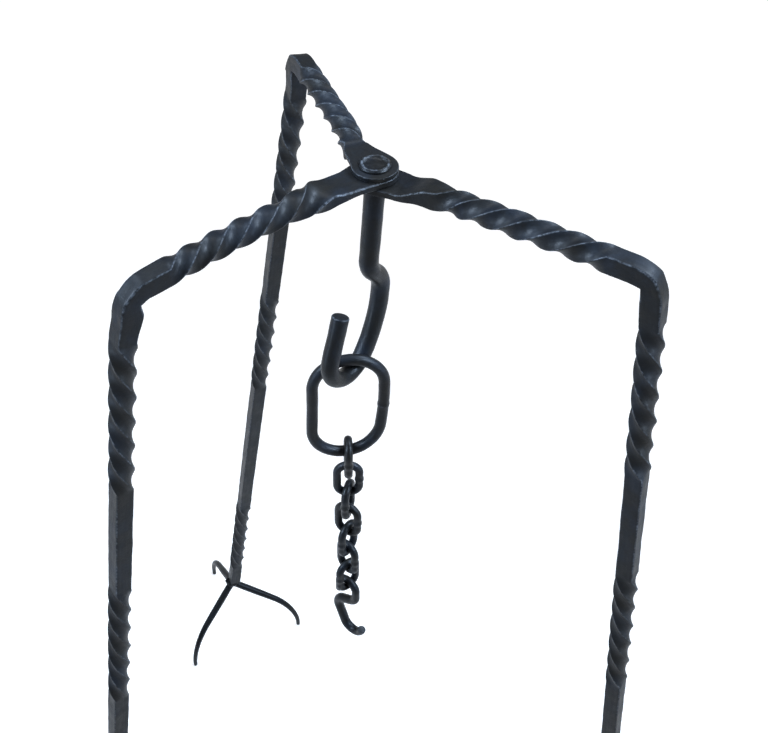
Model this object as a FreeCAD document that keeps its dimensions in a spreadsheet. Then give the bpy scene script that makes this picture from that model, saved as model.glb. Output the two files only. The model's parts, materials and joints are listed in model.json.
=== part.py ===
"""Campfire tripod: three forged legs on a riveted swivel hook, with a ring, a chain and an end hook.

Every length is in millimetres. +Z is up, z = 0 is the ground, and the origin is the centre of the
footprint. Each leg is one square bar: a flat eye on the pivot, an arm with a twist, a bend, and a long
leg with three more twists. Its foot is an arched rod with two toes and a third toe, welded under it.
The three eyes turn on the hook's tenon, between a washer and a peened head. The ring hangs in the hook's
bowl, and seven links and the end hook hang from the ring.
"""
import FreeCAD, Part
import math
import os
from FreeCAD import Placement, Rotation, Vector

X, Y, Z = Vector(1, 0, 0), Vector(0, 1, 0), Vector(0, 0, 1)

# ---------------------------------------------------------------- driving dimensions
DIMENSIONS = {
    "pivot_x": -3.16, "pivot_y": -49.78, "shoulder_height": 884.7,
    # bar of the legs
    "bar_top": 13.2, "bar_foot": 12.3, "bend_radius": 18.0,
    # eyes, stacked on the tenon
    "eye_gap": 0.15, "eye_radius": 15.6, "bore_dia": 9.7,
    # twists: the arm's starts this far from its neck, and the leg's are by distance from the bend
    "arm_plain_in": 3.0,
    "twist1_from": 35.0, "twist1_to": 162.0, "twist2_from": 268.0, "twist2_to": 400.0,
    "twist3_from": 634.0, "twist3_to": 775.0, "twist_turns": 1.5,
    # foot
    "foot_height": 87.0, "toe_dia": 7.4, "toe_reach": 83.0, "toe_slope": 29.0, "toe_round": 62.0,
    "toe_sink": 2.0, "toe_swing": 5.0,
    # swivel hook
    "shank_dia": 13.4, "tenon_dia": 9.5, "head_dia": 21.5, "head_rise": 2.2, "head_top_dia": 18.0,
    "washer_dia": 17.0, "washer_thick": 1.0, "washer_fit": 0.05, "hook_yaw": 233.5, "hook_bowl": 21.5,
    "hook_turn": 160.0, "hook_tip": 35.0,
    # ring and chain
    "ring_wire": 8.8, "ring_width": 63.0, "ring_length": 106.4, "ring_yaw": 10.0, "ring_gap": 2.6,
    "link_wire": 6.6, "link_width": 24.4, "link_length": 39.2, "link_gap": 0.3,
    # end hook
    "end_wire": 7.0, "end_yaw": -40.0, "end_eye": 9.5, "end_eye_side": 11.0, "end_eye_back": 8.0,
    "end_eye_close": 60.0, "end_cross": 12.0, "end_bend": 11.0, "end_bend_turn": 82.0, "end_shank": 19.0,
    "end_bowl": 10.5, "end_bowl_turn": 138.0, "end_tip": 3.0,
}
# side: azimuth, bend's distance from the pivot, bend's height, foot's distance, sideways lean in
# degrees, and the length of plain bar between the arm's twist and its bend
LEGS = {
    "rear": (111.8, 158.5, 892.0, 297.0, 4.7, 26.0),
    "left": (217.1, 183.0, 878.5, 300.5, -1.0, 30.0),
    "right": (327.4, 196.5, 897.3, 287.5, 0.0, 30.0),
}
# side, from the lowest eye up: the eye's thickness, the flat tab's reach and its width there, and the
# reach and height of the neck, where the tab has become the square bar
EYES = {
    "right": (4.6, 20.0, 25.0, 44.0, 893.3),
    "left": (4.6, 20.0, 25.0, 44.0, 892.4),
    "rear": (3.2, 24.0, 21.0, 30.0, 892.3),
}
# the swivel hook's shank and gooseneck, from the tenon's shoulder down to the bowl
HOOK_NECK = (("run", 5.8), ("arc", 60.0, 5.0), ("run", 50.0), ("arc", 17.0, -48.0), ("run", 6.5),
             ("arc", 20.0, 46.0), ("arc", 90.0, 36.0))
LINK_YAWS = (94.0, 2.0, 76.0, -26.0, 57.0, -46.0, 42.0)
TWIST_SECTIONS = 24

doc = FreeCAD.newDocument("campfire_tripod")
sheet = doc.addObject("Spreadsheet::Sheet", "dims")
for row, (alias, value) in enumerate(DIMENSIONS.items(), start=1):
    sheet.set(f"A{row}", alias)
    sheet.set(f"B{row}", str(value))
    sheet.setAlias(f"B{row}", alias)
doc.recompute()


def dim(alias):
    """A cell's value."""
    return float(sheet.get(alias))


def turned(axis, degrees):
    return Placement(Vector(), Rotation(axis, degrees))


def moved(x=0.0, y=0.0, z=0.0):
    return Placement(Vector(x, y, z), Rotation())


# a plane's own XY lies across a bar that runs along X
ACROSS = Placement(Vector(), Rotation(Y, Z, X, "XYZ"))


# ---------------------------------------------------------------- document objects
def primitive(kind, name, placement, **sizes):
    """A Part primitive. A size given as text is an expression, and a number is set as it is."""
    obj = doc.addObject(kind, name)
    for prop, size in sizes.items():
        if isinstance(size, str):
            obj.setExpression(prop, size)
        else:
            setattr(obj, prop, size)
    obj.Placement = placement
    return obj


def fuse(name, pieces):
    """One solid from pieces that touch."""
    obj = doc.addObject("Part::MultiFuse", name)
    obj.Shapes = pieces
    obj.Refine = True
    return obj


def cut(name, base, tool):
    obj = doc.addObject("Part::Cut", name)
    obj.Base, obj.Tool = base, tool
    obj.Refine = True
    return obj


# ---------------------------------------------------------------- round rod in a plane
def rod(name, start, wire, steps):
    """A round rod through runs and arcs in the XZ plane of `start`, which it leaves along +X.

    A step is ("run", length) or ("arc", radius, degrees), and positive degrees turn towards +Z.
    Returns the pieces, and the frame at the start of each step and at the end.
    """
    pieces, frames = [], [start]
    for k, (kind, size, *angle) in enumerate(steps):
        here = frames[-1]
        if kind == "run":
            pieces.append(primitive("Part::Cylinder", f"{name}_run{k}", here * turned(Y, 90),
                                    Radius=f"{wire} / 2", Height=size))
            frames.append(here * moved(x=size))
            continue
        side = math.copysign(1.0, angle[0])
        centre = here * moved(z=side * size)
        torus_at = centre * turned(X, side * 90) * turned(Z, -90)
        pieces.append(primitive("Part::Torus", f"{name}_arc{k}", torus_at,
                                Radius1=size, Radius2=f"{wire} / 2", Angle3=abs(angle[0])))
        frames.append(centre * turned(Y, -angle[0]) * moved(z=-side * size))
    return pieces, frames


def closed_link(name, crown, wire, width, length):
    """A link of two half rounds and two straights, in the XZ plane of its crown, below its origin."""
    radius = (dim(width) - dim(wire)) / 2
    straight = dim(length) - dim(width)
    steps = [("arc", radius, 90), ("run", straight), ("arc", radius, 180), ("run", straight),
             ("arc", radius, 90)]
    pieces, _ = rod(name, crown * turned(Y, 180), f"dims.{wire}", steps)
    return fuse(name, pieces)


# ---------------------------------------------------------------- square bar along a frame's X
def section(name, frame, width, height):
    """A rectangle across the bar, centred on the frame's X."""
    at = frame * moved(0, -width / 2, -height / 2) * ACROSS
    return primitive("Part::Plane", name, at, Length=width, Width=height)


def loft(name, first, last):
    obj = doc.addObject("Part::Loft", name)
    obj.Sections = [first, last]
    obj.Solid, obj.Ruled = True, True
    return obj


def bar_size(along):
    """The bar draws down evenly from the bend to the end of its last twist."""
    share = min(1.0, along / dim("twist3_to"))
    return dim("bar_top") + (dim("bar_foot") - dim("bar_top")) * share


def plain_bar(name, frame, start, end, size_at=bar_size):
    first = section(f"{name}_start", frame * moved(x=start), size_at(start), size_at(start))
    last = section(f"{name}_end", frame * moved(x=end), size_at(end), size_at(end))
    return loft(name, first, last)


def twisted_bar(name, frame, start, end, degrees, size_at=bar_size):
    """The bar with a left-hand twist, as one loft through turned squares."""
    squares = []
    for k in range(TWIST_SECTIONS + 1):
        share = k / TWIST_SECTIONS
        along = start + (end - start) * share
        half = size_at(along) / 2
        here = frame * moved(x=along) * turned(X, -degrees * share)
        corners = [Vector(0, -half, -half), Vector(0, half, -half), Vector(0, half, half),
                   Vector(0, -half, half)]
        points = [here.multVec(corner) for corner in corners]
        squares.append(Part.makePolygon(points + points[:1]))
    obj = doc.addObject("Part::Feature", name)
    obj.Shape = Part.makeLoft(squares, True, False)
    return obj


# ---------------------------------------------------------------- legs
def arm_size(_along):
    return dim("bar_top")


def eye_height(side):
    """The middle of one eye, which lies on the washer and on the eyes below it."""
    height = dim("shoulder_height") + dim("washer_thick") + dim("eye_gap")
    for other, (thick, *_) in EYES.items():
        if other == side:
            return height + thick / 2
        height += thick + dim("eye_gap")
    return height


def eye_pieces(side, eye, neck):
    """The flat round eye, its tab, and the taper from the tab to the square bar."""
    thick, flat_at, flat_wide, _, _ = EYES[side]
    round_end, bar = dim("eye_radius"), dim("bar_top")
    # the tab's sides are tangent to the round end
    touch = (math.atan2(flat_wide / 2, flat_at)
             + math.acos(round_end / math.hypot(flat_at, flat_wide / 2)))
    disc = primitive("Part::Cylinder", f"{side}_eye_round", eye * moved(z=-thick / 2),
                     Radius="dims.eye_radius", Height=thick)
    wide = section(f"{side}_eye_wide", eye * moved(x=round_end * math.cos(touch)),
                   2 * round_end * math.sin(touch), thick)
    flat_end = section(f"{side}_eye_flat_end", eye * moved(x=flat_at), flat_wide, thick)
    square = section(f"{side}_eye_square", neck, bar, bar)
    return [disc, loft(f"{side}_eye_flat", wide, flat_end), loft(f"{side}_eye_taper", flat_end, square)]


def leg_bar(side):
    """One leg's bar, with no bore yet. Returns it, its eye's frame, and its foot end."""
    azimuth, reach, bend_height, foot_reach, lean, plain_out = LEGS[side]
    neck_at, neck_height = EYES[side][-2:]
    droop = math.atan2(neck_height - bend_height, reach - neck_at)
    splay = math.atan2(foot_reach - reach, bend_height - dim("foot_height"))
    turn = 90 - math.degrees(droop + splay)
    length = (bend_height - dim("foot_height")) / (math.cos(splay) * math.cos(math.radians(lean)))
    arm = (reach - neck_at) / math.cos(droop)
    tangent = dim("bend_radius") * math.tan(math.radians(turn) / 2)
    twist = 360 * dim("twist_turns")

    eye = moved(dim("pivot_x"), dim("pivot_y"), eye_height(side)) * turned(Z, azimuth)
    rise = neck_height - eye_height(side)
    neck = eye * moved(x=neck_at, z=rise) * turned(Y, math.degrees(droop))
    pieces = eye_pieces(side, eye, neck)
    twist_in, twist_out = dim("arm_plain_in"), arm - plain_out
    pieces.append(plain_bar(f"{side}_arm_in", neck, 0, twist_in, arm_size))
    # the arm's twist stops short or runs over by the lean, which tips the bend's plane sideways
    pieces.append(twisted_bar(f"{side}_arm_twist", neck, twist_in, twist_out, twist - lean, arm_size))
    leaning = neck * turned(X, lean)
    pieces.append(plain_bar(f"{side}_arm_out", leaning, twist_out, arm - tangent, arm_size))

    bend_at = leaning * moved(x=arm - tangent)
    bend = doc.addObject("Part::Revolution", f"{side}_bend")
    bend.Source = section(f"{side}_bend_section", bend_at, dim("bar_top"), dim("bar_top"))
    bend.Base = bend_at.multVec(Vector(0, 0, -dim("bend_radius")))
    bend.Axis = bend_at.Rotation.multVec(Y)
    bend.Angle = turn
    bend.Solid = True
    pieces.append(bend)

    down = leaning * moved(x=arm) * turned(Y, turn)
    stops = [tangent]
    for number in (1, 2, 3):
        stops += [dim(f"twist{number}_from"), dim(f"twist{number}_to")]
    stops.append(length)
    for k in range(len(stops) - 1):
        name = f"{side}_leg{k}"
        if k % 2:
            pieces.append(twisted_bar(name, down, stops[k], stops[k + 1], twist))
        else:
            pieces.append(plain_bar(name, down, stops[k], stops[k + 1]))
    return fuse(f"{side}_bar", pieces), eye, down.multVec(Vector(length, 0, 0))


def toe(name, root, azimuth):
    """One toe: out and down from the leg's end, then round to a plumb tip that stands on the ground."""
    slope, bend = math.radians(dim("toe_slope")), dim("toe_round")
    out = (dim("toe_reach") - bend * (1 - math.sin(slope))) / math.cos(slope)
    tip = root.z - out * math.sin(slope) - bend * math.cos(slope)
    start = moved(root.x, root.y, root.z) * turned(Z, azimuth) * turned(Y, dim("toe_slope"))
    steps = [("run", out), ("arc", bend, dim("toe_slope") - 90), ("run", tip)]
    pieces, frames = rod(name, start, "dims.toe_dia", steps)
    return pieces, frames[-1].Base


def leg_and_foot(side):
    """The leg, bored at its eye and saddled at its foot, the arch of two toes, and the third toe."""
    bar, eye, end = leg_bar(side)
    root = Vector(end.x, end.y, dim("foot_height") - dim("toe_sink"))
    outward = LEGS[side][0] + dim("toe_swing")
    crown = primitive("Part::Sphere", f"{side}_arch_crown", moved(root.x, root.y, root.z),
                      Radius="dims.toe_dia / 2")
    first, _ = toe(f"{side}_arch_toe_a", root, outward + 120)
    second, _ = toe(f"{side}_arch_toe_b", root, outward - 120)
    arch = fuse(f"{side}_arch", [crown] + first + second)
    third, tip = toe(f"{side}_third_toe", root, outward)
    single = cut(f"{side}_single", fuse(f"{side}_third", third), arch)
    thick = EYES[side][0]
    bore = primitive("Part::Cylinder", f"{side}_bore", eye * moved(z=-thick),
                     Radius="dims.bore_dia / 2", Height=2 * thick)
    leg = cut(f"{side}_saddled", cut(f"{side}_bored", bar, bore), fuse(f"{side}_weld", [arch, single]))
    leg.Label = f"{side}_leg"
    arch.Label = f"{side}_foot_arch"
    single.Label = f"{side}_foot_toe"
    return [leg, arch, single], tip


# ---------------------------------------------------------------- swivel hook and washer
shoulder = dim("shoulder_height")
stack = dim("washer_thick") + dim("eye_gap") + sum(eye[0] + dim("eye_gap") for eye in EYES.values())
head_foot = shoulder + stack
pivot = moved(dim("pivot_x"), dim("pivot_y"), 0)


def swivel_hook():
    """Shank, gooseneck and bowl of one round bar, with a tenon and a peened head.

    Returns the hook and the centre of the wire at the lowest point of the bowl.
    """
    start = pivot * moved(z=shoulder) * turned(Z, dim("hook_yaw")) * turned(Y, 90)
    bowl_steps = [("arc", dim("hook_bowl"), dim("hook_turn")), ("run", dim("hook_tip"))]
    pieces, frames = rod("hook", start, "dims.shank_dia", list(HOOK_NECK) + bowl_steps)
    bowl = frames[len(HOOK_NECK)].multVec(Vector(0, 0, dim("hook_bowl")))
    pieces.append(primitive("Part::Cylinder", "hook_tenon", pivot * moved(z=shoulder),
                            Radius="dims.tenon_dia / 2",
                            Height=stack))
    pieces.append(primitive("Part::Cone", "hook_head", pivot * moved(z=head_foot),
                            Radius1="dims.head_dia / 2", Radius2="dims.head_top_dia / 2",
                            Height="dims.head_rise"))
    hook = fuse("hook", pieces)
    hook.Label = "swivel_hook"
    return hook, bowl - Z * dim("hook_bowl")


def pivot_washer():
    """The washer that bears on the shoulder of the hook, under the eyes."""
    disc = primitive("Part::Cylinder", "washer_disc", pivot * moved(z=shoulder),
                     Radius="dims.washer_dia / 2", Height="dims.washer_thick")
    hole = primitive("Part::Cylinder", "washer_hole", pivot * moved(z=shoulder - dim("washer_thick")),
                     Radius="dims.tenon_dia / 2 + dims.washer_fit", Height="3 * dims.washer_thick")
    washer = cut("washer", disc, hole)
    washer.Label = "pivot_washer"
    return washer


# ---------------------------------------------------------------- ring, chain and end hook
def hung(seat, lower_wire, upper_wire, gap, yaw):
    """The frame of a wire's crown that hangs over another wire's centre, with a gap between them."""
    rise = (dim(lower_wire) + dim(upper_wire)) / 2 + dim(gap)
    return moved(seat.x, seat.y, seat.z + rise) * turned(Z, yaw)


def hanging_parts(seat):
    """The ring, the seven links and the end hook. Prints the wire centre that each one hangs on."""
    crown = hung(seat, "shank_dia", "ring_wire", "ring_gap", dim("ring_yaw"))
    ring = closed_link("ring", crown, "ring_wire", "ring_width", "ring_length")
    parts, seats, below = [ring], [seat], "ring_wire"
    seat = crown.Base - Z * (dim("ring_length") - dim("ring_wire"))
    for number, yaw in enumerate(LINK_YAWS, start=1):
        seats.append(seat)
        crown = hung(seat, below, "link_wire", "link_gap", yaw)
        parts.append(closed_link(f"chain_link_{number}", crown, "link_wire", "link_width", "link_length"))
        seat = crown.Base - Z * (dim("link_length") - dim("link_wire"))
        below = "link_wire"
    seats.append(seat)

    # the end hook: up and over for a long eye, across under it, then round a bowl the other way
    crown = hung(seat, "link_wire", "end_wire", "link_gap", dim("end_yaw"))
    eye, side = dim("end_eye"), dim("end_eye_side")
    start = crown * moved(x=-eye, z=-eye - side) * turned(Y, -90)
    steps = [("run", side), ("arc", eye, -180), ("run", dim("end_eye_back")),
             ("arc", eye, -dim("end_eye_close")), ("run", dim("end_cross")),
             ("arc", dim("end_bend"), dim("end_bend_turn")), ("run", dim("end_shank")),
             ("arc", dim("end_bowl"), dim("end_bowl_turn")), ("run", dim("end_tip"))]
    pieces, _ = rod("end_hook", start, "dims.end_wire", steps)
    parts.append(fuse("end_hook", pieces))
    return parts, seats


nodes, tips = [], {}
for side in LEGS:
    pieces, tips[side] = leg_and_foot(side)
    nodes += pieces
hook, bowl_seat = swivel_hook()
hanging, hang_points = hanging_parts(bowl_seat)
nodes += [hook, pivot_washer()] + hanging
doc.recompute()

# ---------------------------------------------------------------- check and write
failed = [obj.Name for obj in doc.Objects if {"Invalid", "Error"} & set(obj.State)]
if failed:
    raise SystemExit(f"objects that failed to recompute: {failed}")
os.makedirs("parts", exist_ok=True)
whole = FreeCAD.BoundBox()
for node in nodes:
    shape = node.Shape
    if shape.isNull() or not shape.isValid() or len(shape.Solids) != 1:
        raise SystemExit(f"{node.Label} is not one valid solid")
    shape.exportStep(f"parts/{node.Label}.step")
    whole.add(shape.optimalBoundingBox(False))
    centre = [round(c, 2) for c in shape.Solids[0].CenterOfMass]
    print(node.Label, round(shape.Volume / 1000, 2), "cm3", centre)
print("box", [round(v, 3) for v in (whole.XMin, whole.YMin, whole.ZMin, whole.XMax, whole.YMax, whole.ZMax)])
print("toe tips", {name: [round(c, 3) for c in tip] for name, tip in tips.items()})
print("hang points", [[round(c, 3) for c in point] for point in hang_points])
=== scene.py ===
"""Campfire tripod in blackened forged iron: three legs, swivel hook, ring, chain and end hook.

Each bar is a row of frames along its path, with its section drawn across every frame. Sizes are in
millimetres and angles in degrees, and the meshes are written in metres.
"""
import bpy
import json
import math
import numpy as np
from collections import namedtuple
from mathutils import Matrix, Vector, noise


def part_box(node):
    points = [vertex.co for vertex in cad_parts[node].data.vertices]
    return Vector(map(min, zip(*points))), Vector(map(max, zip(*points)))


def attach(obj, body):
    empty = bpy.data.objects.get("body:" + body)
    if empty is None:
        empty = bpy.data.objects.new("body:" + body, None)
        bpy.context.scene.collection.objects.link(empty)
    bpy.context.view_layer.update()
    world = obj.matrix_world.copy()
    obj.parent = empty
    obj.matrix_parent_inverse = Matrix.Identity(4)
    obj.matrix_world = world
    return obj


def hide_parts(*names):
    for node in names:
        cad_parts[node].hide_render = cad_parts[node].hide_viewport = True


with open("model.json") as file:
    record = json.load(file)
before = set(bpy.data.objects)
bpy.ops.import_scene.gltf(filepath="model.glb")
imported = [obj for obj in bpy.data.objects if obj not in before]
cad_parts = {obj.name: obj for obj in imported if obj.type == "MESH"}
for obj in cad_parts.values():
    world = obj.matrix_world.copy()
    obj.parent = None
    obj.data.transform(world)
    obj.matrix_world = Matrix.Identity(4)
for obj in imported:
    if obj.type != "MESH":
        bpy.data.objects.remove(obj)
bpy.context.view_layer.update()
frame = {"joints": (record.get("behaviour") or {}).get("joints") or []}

MM = 0.001
X, Y, Z = (1, 0, 0), (0, 1, 0), (0, 0, 1)

# the rivet's axis, and the washer that sits on the hook's shoulder
SWIVEL = next(joint for joint in frame["joints"] if joint["name"] == "hook_swivel")
PIVOT = tuple(round(value / MM, 2) for value in SWIVEL["pos_m"][:2])
SHOULDER, WASHER_TOP = (round(corner.z / MM, 2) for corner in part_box("pivot_washer"))


# ---------------------------------------------------------------- frames
def turned(axis, degrees):
    return np.array(Matrix.Rotation(math.radians(degrees), 4, Vector(axis)))


def moved(x=0.0, y=0.0, z=0.0):
    return np.array(Matrix.Translation((x, y, z)))


def walk(start, steps, run_step, arc_step):
    """Frames along runs and arcs in the XZ plane of `start`, which the path leaves along +X.

    Returns the frames, the length along the path to each, and the frame at the end of each step.
    """
    frames, lengths, ends = [start], [0.0], [start]
    for kind, size, *angle in steps:
        here = ends[-1]
        if kind == "run":
            count = max(1, round(size / run_step))
            for k in range(1, count + 1):
                frames.append(here @ moved(x=size * k / count))
                lengths.append(lengths[-1] + size / count)
        else:
            side = math.copysign(1.0, angle[0])
            centre = here @ moved(z=side * size)
            count = max(2, round(abs(angle[0]) / arc_step))
            for k in range(1, count + 1):
                part = angle[0] * k / count
                frames.append(centre @ turned(Y, -part) @ moved(z=-side * size))
                lengths.append(lengths[-1] + size * math.radians(abs(angle[0])) / count)
        ends.append(frames[-1])
    return frames, np.array(lengths), ends


def along_points(points, side_axis):
    """Frames along points, whose Y is as near as can be to `side_axis`."""
    frames = []
    for k in range(len(points)):
        ahead = points[min(k + 1, len(points) - 1)] - points[max(k - 1, 0)]
        ahead = ahead / np.linalg.norm(ahead)
        up = np.cross(side_axis, ahead)
        up /= np.linalg.norm(up)
        here = np.eye(4)
        here[:3, 0], here[:3, 1], here[:3, 2] = ahead, np.cross(up, ahead), up
        here[:3, 3] = points[k]
        frames.append(here)
    return frames


def lengths_of(points):
    """The length along the points to each of them."""
    gaps = np.linalg.norm(np.diff(points, axis=0), axis=1)
    return np.concatenate([[0.0], np.cumsum(gaps)])


def stretch(start, end, step):
    """Even stops from start to end, without the last one."""
    count = max(1, round((end - start) / step))
    return [start + (end - start) * k / count for k in range(count)]


def ease(share):
    """Rises from 0 to 1 with a soft start and end."""
    share = min(1.0, max(0.0, share))
    return share * share * (3 - 2 * share)


# ---------------------------------------------------------------- surface noise
DENT_RIM = 0.62


def perlin(points, size, seed):
    """Smooth noise from -1 to 1 at each point, with features of about `size` millimetres."""
    shift = Vector((seed * 17.3, seed * 5.9, seed * 11.1))
    return np.array([noise.noise(Vector(p) / size + shift) for p in points])


def dents(points, size, seed):
    """1 in the middle of a hammer dent, falling to 0 at its rim."""
    shift = Vector((seed * 7.7, seed * 3.1, seed * 9.3))
    near = np.array([noise.voronoi(Vector(p) / size + shift)[0][0] for p in points])
    return np.clip(1 - near / DENT_RIM, 0, 1) ** 0.8


# ---------------------------------------------------------------- cross-sections
CORNER_STEPS, FLAT_STEPS = 6, 5


def corner_sign(angle):
    return math.copysign(1, math.cos(angle)), math.copysign(1, math.sin(angle))


def square_ring():
    """Corner sign, direction and edge weight of each point round a square with rounded corners."""
    signs, outs, edge = [], [], []
    for quarter in range(4):
        middle = math.pi / 4 + quarter * math.pi / 2
        sign, next_sign = corner_sign(middle), corner_sign(middle + math.pi / 2)
        for k in range(CORNER_STEPS + 1):
            angle = middle + math.pi / 2 * (k / CORNER_STEPS - 0.5)
            signs.append(sign)
            outs.append((math.cos(angle), math.sin(angle)))
            edge.append(math.sin(math.pi * (k + 0.6) / (CORNER_STEPS + 1.2)))
        for k in range(1, FLAT_STEPS + 1):
            share = k / (FLAT_STEPS + 1)
            signs.append(tuple(a + (b - a) * share for a, b in zip(sign, next_sign)))
            outs.append(outs[-1])
            edge.append(0.0)
    return np.array(signs), np.array(outs), np.array(edge)


SIGNS, OUTS, EDGE = square_ring()


def round_ring(count):
    """The angles of points round a circle, and their cosines and sines."""
    angles = np.arange(count) * 2 * math.pi / count
    return angles, np.cos(angles), np.sin(angles)


def drawn_across(here, y, z):
    """The points (y, z) of a section, drawn across a frame."""
    local = np.stack([np.zeros(len(y)), y, z, np.ones(len(y))])
    return (here @ local).T[:, :3]


def away_from(rows, centres):
    """Unit directions to the points of each row from its centre."""
    gaps = rows - centres
    return gaps / np.maximum(np.linalg.norm(gaps, axis=2, keepdims=True), 1e-6)


# ---------------------------------------------------------------- meshes
GIRTH = 40.0  # what the streaks take as the way round any bar


def add_object(name, points, faces, edge, along, round_at):
    """A smooth mesh object that carries its edge scuffing with a painted edge highlight, and its
    place along and round the bar.
    """
    mesh = bpy.data.meshes.new(name)
    mesh.from_pydata((np.asarray(points) * MM).tolist(), [], faces)
    mesh.update()
    mesh.shade_smooth()
    scuff_and_highlight = mesh.attributes.new("edge", "FLOAT", "POINT")
    scuff_and_highlight.data.foreach_set("value", np.asarray(edge, dtype=np.float32))
    lay = mesh.attributes.new("lay", "FLOAT_VECTOR", "POINT")
    flat = np.stack([along, round_at, np.zeros(len(along))], axis=1).astype(np.float32)
    lay.data.foreach_set("vector", flat.ravel())
    obj = bpy.data.objects.new(name, mesh)
    bpy.context.scene.collection.objects.link(obj)
    return obj


def skin(name, rows, along, edge, closed=False):
    """A mesh through rows of points, with a cap at each end unless the last row meets the first.

    `along` is one length per row, and `edge` is one value per point.
    """
    count, columns = rows.shape[:2]
    points = rows.reshape(-1, 3)
    edge = np.asarray(edge).reshape(-1)
    lengths = np.repeat(along, columns)
    round_at = np.tile(np.arange(columns) / columns * GIRTH, count)
    following = [(k + 1) % columns for k in range(columns)]
    faces = []
    for row in range(count if closed else count - 1):
        a, b = row * columns, (row + 1) % count * columns
        faces += [(a + k, a + n, b + n, b + k) for k, n in enumerate(following)]
    if not closed:
        hub, last = count * columns, (count - 1) * columns
        faces += [(n, k, hub) for k, n in enumerate(following)]
        faces += [(last + k, last + n, hub + 1) for k, n in enumerate(following)]
        points = np.concatenate([points, [rows[0].mean(axis=0), rows[-1].mean(axis=0)]])
        edge = np.concatenate([edge, [0.0, 0.0]])
        lengths = np.concatenate([lengths, [along[0], along[-1]]])
        round_at = np.concatenate([round_at, [0.0, 0.0]])
    return add_object(name, points, faces, edge, lengths, round_at)


# ---------------------------------------------------------------- round bars
# a round bar's edge weights: its plain length, and its cut ends and weld seam, which are painted
# bright steel as scuffing with a painted highlight
PLAIN_EDGE, SCUFFED_HIGHLIT_EDGE = 0.12, 0.9
# the two sizes of a round bar's unevenness, and the share of the smaller one
WIRE_WAVE, WIRE_GRAIN, GRAIN_SHARE = 9.0, 3.2, 0.35
# a cut end's rounding: where its stops are, and how much of the bar it takes, in times its radius
END_ANGLES = [math.radians(angle) for angle in (0, 22, 45, 67, 90)]
END_CLEAR = 1.2


def rounded_end(stop, side, blunt):
    """Stops that round off the cut end of a bar, from its full size to the flat of its end."""
    tip, size, length = stop
    return [(tip @ moved(x=side * blunt * (math.sin(angle) - 1)),
             size - blunt * (1 - math.cos(angle)), length) for angle in END_ANGLES]


def wire(name, frames, lengths, radius, seed, rough=0.10, closed=False, blunt=0.9, sides=24,
         buried_start=False, seam_at=None):
    """A round bar along frames. `radius` is a number or one value per frame.

    Its free ends are cut square and rounded by `blunt`; they and a weld's seam at `seam_at` are
    painted bright, as scuffing with a painted highlight.
    """
    radius = np.broadcast_to(np.asarray(radius, dtype=float), (len(frames),))
    stops = list(zip(frames, radius, lengths))
    if closed:
        stops.pop()
    else:
        clear = blunt * END_CLEAR
        if not buried_start:
            tip = rounded_end(stops[0], -1, blunt)[::-1]
            stops = tip + [stop for stop in stops if stop[2] > clear]
        tip = rounded_end(stops[-1], 1, blunt)
        stops = [stop for stop in stops if stop[2] < lengths[-1] - clear] + tip
    _, cosines, sines = round_ring(sides)
    rows = np.array([drawn_across(here, cosines * size, sines * size) for here, size, _ in stops])
    centres = np.array([here[:3, 3] for here, _, _ in stops])[:, None, :]
    points = rows.reshape(-1, 3)
    bumps = perlin(points, WIRE_WAVE, seed) + perlin(points, WIRE_GRAIN, seed + 3) * GRAIN_SHARE
    rows = rows + away_from(rows, centres) * (rough * bumps.reshape(rows.shape[:2]))[:, :, None]
    along = np.array([length for _, _, length in stops])
    edge = np.full(rows.shape[:2], PLAIN_EDGE)
    if seam_at is not None:
        edge[np.argmin(np.abs(along - seam_at))] = SCUFFED_HIGHLIT_EDGE
    if not closed:
        edge[-4:-1] = SCUFFED_HIGHLIT_EDGE
        if not buried_start:
            edge[1:4] = SCUFFED_HIGHLIT_EDGE
    return skin(name, rows, along, edge, closed)


# ---------------------------------------------------------------- legs
Stance = namedtuple("Stance", "azimuth reach bend_height foot_reach lean plain_out")
Tab = namedtuple("Tab", "thick flat_at flat_wide neck_at neck_height taper_to")
Forging = namedtuple("Forging", "aside twist_at slow bow swell tuck full drift")
Station = namedtuple("Station", "frame roll wide high corner")

BAR_TOP, BAR_FOOT = 13.4, 12.5
BEND_RADIUS = 18.0
EYE_RADIUS, EYE_GAP = 15.6, 0.15
BORE_DIA, BORE_DEPTH = 9.7, 7.0
TWIST = 540.0
TWISTS = ((35.0, 162.0), (268.0, 400.0), (634.0, 775.0))
FOOT_HEIGHT = 87.0

# the bend's distance from the pivot and its height, the foot's distance, how far the leg leans, and
# how much of the arm is plain before the bend
LEGS = {
    "rear": Stance(azimuth=111.8, reach=158.5, bend_height=892.0, foot_reach=297.0, lean=4.7,
                   plain_out=26.0),
    "left": Stance(azimuth=217.1, reach=183.0, bend_height=878.5, foot_reach=300.5, lean=-1.0,
                   plain_out=30.0),
    "right": Stance(azimuth=327.4, reach=196.5, bend_height=897.3, foot_reach=287.5, lean=0.0,
                    plain_out=30.0),
}
# lowest first: the eye's thickness, its flat's reach and width there, the neck's reach and height,
# and the reach at which the taper to the square bar ends
TABS = {
    "right": Tab(thick=4.6, flat_at=20.0, flat_wide=26.5, neck_at=44.0, neck_height=893.3,
                 taper_to=57.0),
    "left": Tab(thick=4.6, flat_at=20.0, flat_wide=24.6, neck_at=44.0, neck_height=892.4,
                taper_to=76.0),
    "rear": Tab(thick=3.2, flat_at=24.0, flat_wide=18.6, neck_at=30.0, neck_height=892.3,
                taper_to=31.5),
}
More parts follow.
